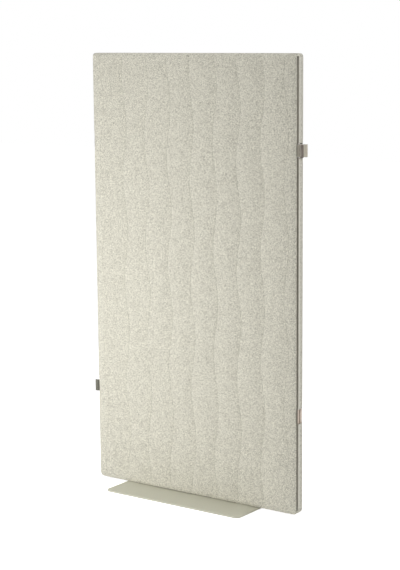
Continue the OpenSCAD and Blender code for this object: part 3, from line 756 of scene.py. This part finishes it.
def end_strip(top):
    """A section in y and depth carried along the outline of the panel's end. The outline is a
    quarter of a circle, a straight line and another quarter; depth is measured inwards from it.
    The half width is 11.2 mm over the rail and grows by 5.8 mm times the cosine of the corner's
    angle, up to the faces' borders. The crown is (1 - (y/half width) squared) times 0.4 mm, sunk
    by 0.5 mm below the outline, and the inner side lies a cloth's thickness of 1.2 mm deeper."""
    radius = HIGH_CORNER if top else LOW_CORNER
    quarter = np.radians(np.linspace(180, 90, BENDS))
    angle = np.concatenate([quarter, np.full(ALONG - 2, np.pi/2), quarter - np.pi/2])
    line = np.linspace(radius - SIDE, SIDE - radius, ALONG)
    middle = np.concatenate([np.full(BENDS, line[0]), line[1:-1], np.full(BENDS, line[-1])])
    half = HALF_WIDE + WIDENS*abs(np.cos(angle))
    share = np.linspace(-1, 1, 9)
    depth = np.append(CROWN*(1 - share**2) - SUNK, np.full(9, -SUNK - CLOTH))
    share = np.append(share, share[::-1])
    points = np.stack([middle[:, None] + (radius + depth)*np.cos(angle)[:, None],
                       half[:, None]*share,
                       TOP - radius + (radius + depth)*np.sin(angle)[:, None]], 2)
    if not top:
        points = points*np.array([1, 1, -1]) + np.array([0, 0, TOP + BOTTOM])
    return points


for end in ("top", "bottom"):
    loft = end_strip(end == "top")
    loft = loft if end == "bottom" else loft[:, ::-1]
    strip = piece(end + "_strip_cloth", *joined([loft]), wool, end + "_strip")
    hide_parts(end + "_strip")

# %% [markdown]
# ## Hard pieces
# Steel, castings and mouldings keep the solids' shapes, but real ones have no razor-sharp edge,
# and a rounded one catches a thin line of light. So a copy of the CAD mesh is welded, and its
# edges are rounded: a laser-cut plate is tumbled to almost a millimetre, mouldings have what the
# mould has, and felt blocks are soft all round.

# %% Rounded copies
def rounded_copy(node, material, radius_mm, segments=3):
    """A welded copy of a CAD node, which it replaces. Faces that lie within half a degree of
    each other become one, and every edge over 40 degrees is rounded."""
    bm = bmesh.new()
    bm.from_mesh(frame["nodes"][node].data)
    bmesh.ops.remove_doubles(bm, verts=bm.verts, dist=1e-6)
    bmesh.ops.dissolve_limit(bm, angle_limit=math.radians(0.5), verts=bm.verts, edges=bm.edges)
    mesh = bpy.data.meshes.new(node)
    bm.to_mesh(mesh)
    bm.free()
    mesh.materials.append(material)
    mesh.polygons.foreach_set("use_smooth", [True]*len(mesh.polygons))
    obj = bpy.data.objects.new(node + "_finished", mesh)
    bpy.context.scene.collection.objects.link(obj)
    bevel = obj.modifiers.new("edges", "BEVEL")
    bevel.width, bevel.segments = radius_mm*MM, segments
    bevel.limit_method, bevel.angle_limit = "ANGLE", math.radians(40)
    bevel.harden_normals = True
    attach(obj, body_of_node[node])
    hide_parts(node)
    print(obj.name, "radius, mm:", radius_mm)

# %% Hard pieces
rounded_copy("base_plate", powder_coat, 0.8)
for side in ("left_", "right_"):
    rounded_copy(side + "saddle", powder_coat, 0.8)
    rounded_copy(side + "nut_bar", zinc, 0.5)
    # The left clip's darker nylon is painted shade; both clips are the same moulding.
    rounded_copy(side + "clip", nylon if side == "right_" else shade_painted_nylon, 0.5)
    rounded_copy(side + "clip_rings", zinc, 0.2, segments=2)
    rounded_copy(side + "slider", enamel, 0.2, segments=2)
    rounded_copy(side + "puller", enamel, 0.25, segments=2)
for node in ("lower_board", "upper_board"):
    rounded_copy(node, felt, 3.0)
rounded_copy("base_pads", rubber, 0.3)
rounded_copy("base_screws", zinc, 0.2, segments=2)

# %% [markdown]
# ## Light
# Plain studio light. The key lamp is a metre wide and low at the front left: it grazes the face,
# so each channel is bright on its left flank and dim on its right one. The side lamp stands
# behind the face's plane at the right, where it lights the side strip and not the face. The top
# lamp lights the base plate and the upper edge. A pale world fills the rest evenly.

# %% Lamps
def lamp(name, place, target, size, watts):
    """A square soft lamp at a place, facing a target."""
    light = bpy.data.lights.new(name, "AREA")
    light.size, light.energy = size, watts
    obj = bpy.data.objects.new(name, light)
    obj.location = place
    obj.rotation_euler = (Vector(target) - Vector(place)).to_track_quat("-Z", "Y").to_euler()
    bpy.context.scene.collection.objects.link(obj)
    print(name, "lamp:", size, "m wide,", watts, "W")


lamp("key", (-0.85, -1.5, 0.70), (-0.1, 0, 0.7), 1.0, 19.9)
lamp("side", (2.6, 1.2, 1.2), (0.4, 0, 0.75), 1.5, 29)
lamp("top", (0.2, -0.3, 3.3), (0, 0, 1.4), 2.0, 21)

# %% [markdown]
# ## White background
# The picture's white must not come from more light on the screen. So the world and the floor are
# bright only for rays that the camera sends, and for those that gloss or glass sends on, while
# the screen is lit by a weaker world. Light Path tells the rays apart.

# %% World
WORLD_STRENGTH = 0.268                   # as the screen sees it; a strength of 1 is white


def seen_rays(tree):
    """The larger of Light Path's camera, glossy and transmission outputs: 1 on such a ray."""
    ray = add(tree, "ShaderNodeLightPath")
    seen = ray.outputs["Is Camera Ray"]
    for other in ("Is Glossy Ray", "Is Transmission Ray"):
        seen = add(tree, "ShaderNodeMath", {0: seen, 1: ray.outputs[other]},
                   operation="MAXIMUM").outputs[0]
    return seen


world = bpy.data.worlds.new("studio")
bpy.context.scene.world = world
world.use_nodes = True
sky = world.node_tree
background = sky.nodes["Background"]
strength = add(sky, "ShaderNodeMapRange",
               {"Value": seen_rays(sky), "To Min": WORLD_STRENGTH, "To Max": 1.0})
sky.links.new(strength.outputs["Result"], background.inputs["Strength"])
background.inputs["Color"].default_value = (1, 1, 1, 1)
print("world:", len(sky.nodes), "nodes")

# %% Floor
FLOOR_HALF = 12                          # metres
FLOOR_GLOW = 0.8                         # added where it is seen; it leaves a soft shadow
corners = np.array([(-1, -1, 0), (1, -1, 0), (1, 1, 0), (-1, 1, 0)])*FLOOR_HALF
floor_mesh = bpy.data.meshes.new("floor")
floor_mesh.from_pydata(corners.tolist(), [], [(0, 1, 2, 3)])
floor = bpy.data.objects.new("floor", floor_mesh)
bpy.context.scene.collection.objects.link(floor)
pale, tree, shader, place = start_material("pale studio floor", Roughness=0.9,
                                           Specular_IOR_Level=0.0)
grain = add(tree, "ShaderNodeTexNoise", {"Vector": place, "Scale": per_metre(500)})
colour = add(tree, "ShaderNodeValToRGB", {"Fac": grain.outputs["Fac"]},
             stops=((0.3, "#f4f4f2"), (0.7, "#f8f8f6")))
tree.links.new(colour.outputs["Color"], shader.inputs["Base Color"])
glow = add(tree, "ShaderNodeMath", {0: seen_rays(tree), 1: FLOOR_GLOW}, operation="MULTIPLY")
tree.links.new(glow.outputs[0], shader.inputs["Emission Strength"])
shader.inputs["Emission Color"].default_value = (1, 1, 1, 1)
floor_mesh.materials.append(pale)
floor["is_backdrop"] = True
bpy.context.scene.view_settings.view_transform = "Standard"
print("floor, m:", 2*FLOOR_HALF, "square")

# %% [markdown]
# ## Solids that keep their shape
# Tubes, corner castings, tees and the frame's screws hide inside the cover. Their CAD meshes are
# right as they are, so they only get a finish, for when the cover's pieces are hidden.

# %% Finishes of the solids that keep their shape
def paint(material, *nodes):
    """Gives CAD nodes whose shape is right a material."""
    for node in nodes:
        mesh = frame["nodes"][node].data
        mesh.materials.clear()
        mesh.materials.append(material)
    print(material.name, "on", len(nodes), "nodes")


paint(tube_coat, "bottom_rail", "top_rail", "middle_rail", "left_upright", "right_upright")
paint(casting, "bottom_left_elbow", "bottom_right_elbow", "top_left_elbow", "top_right_elbow",
      "left_tee", "right_tee")
paint(zinc, "frame_screws")

# %% [markdown]
# ## Size
# The box of the dressed screen is printed, in millimetres.

# %% Size
low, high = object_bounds()
print("visual box, mm:", [round(v/MM, 1) for v in high - low])
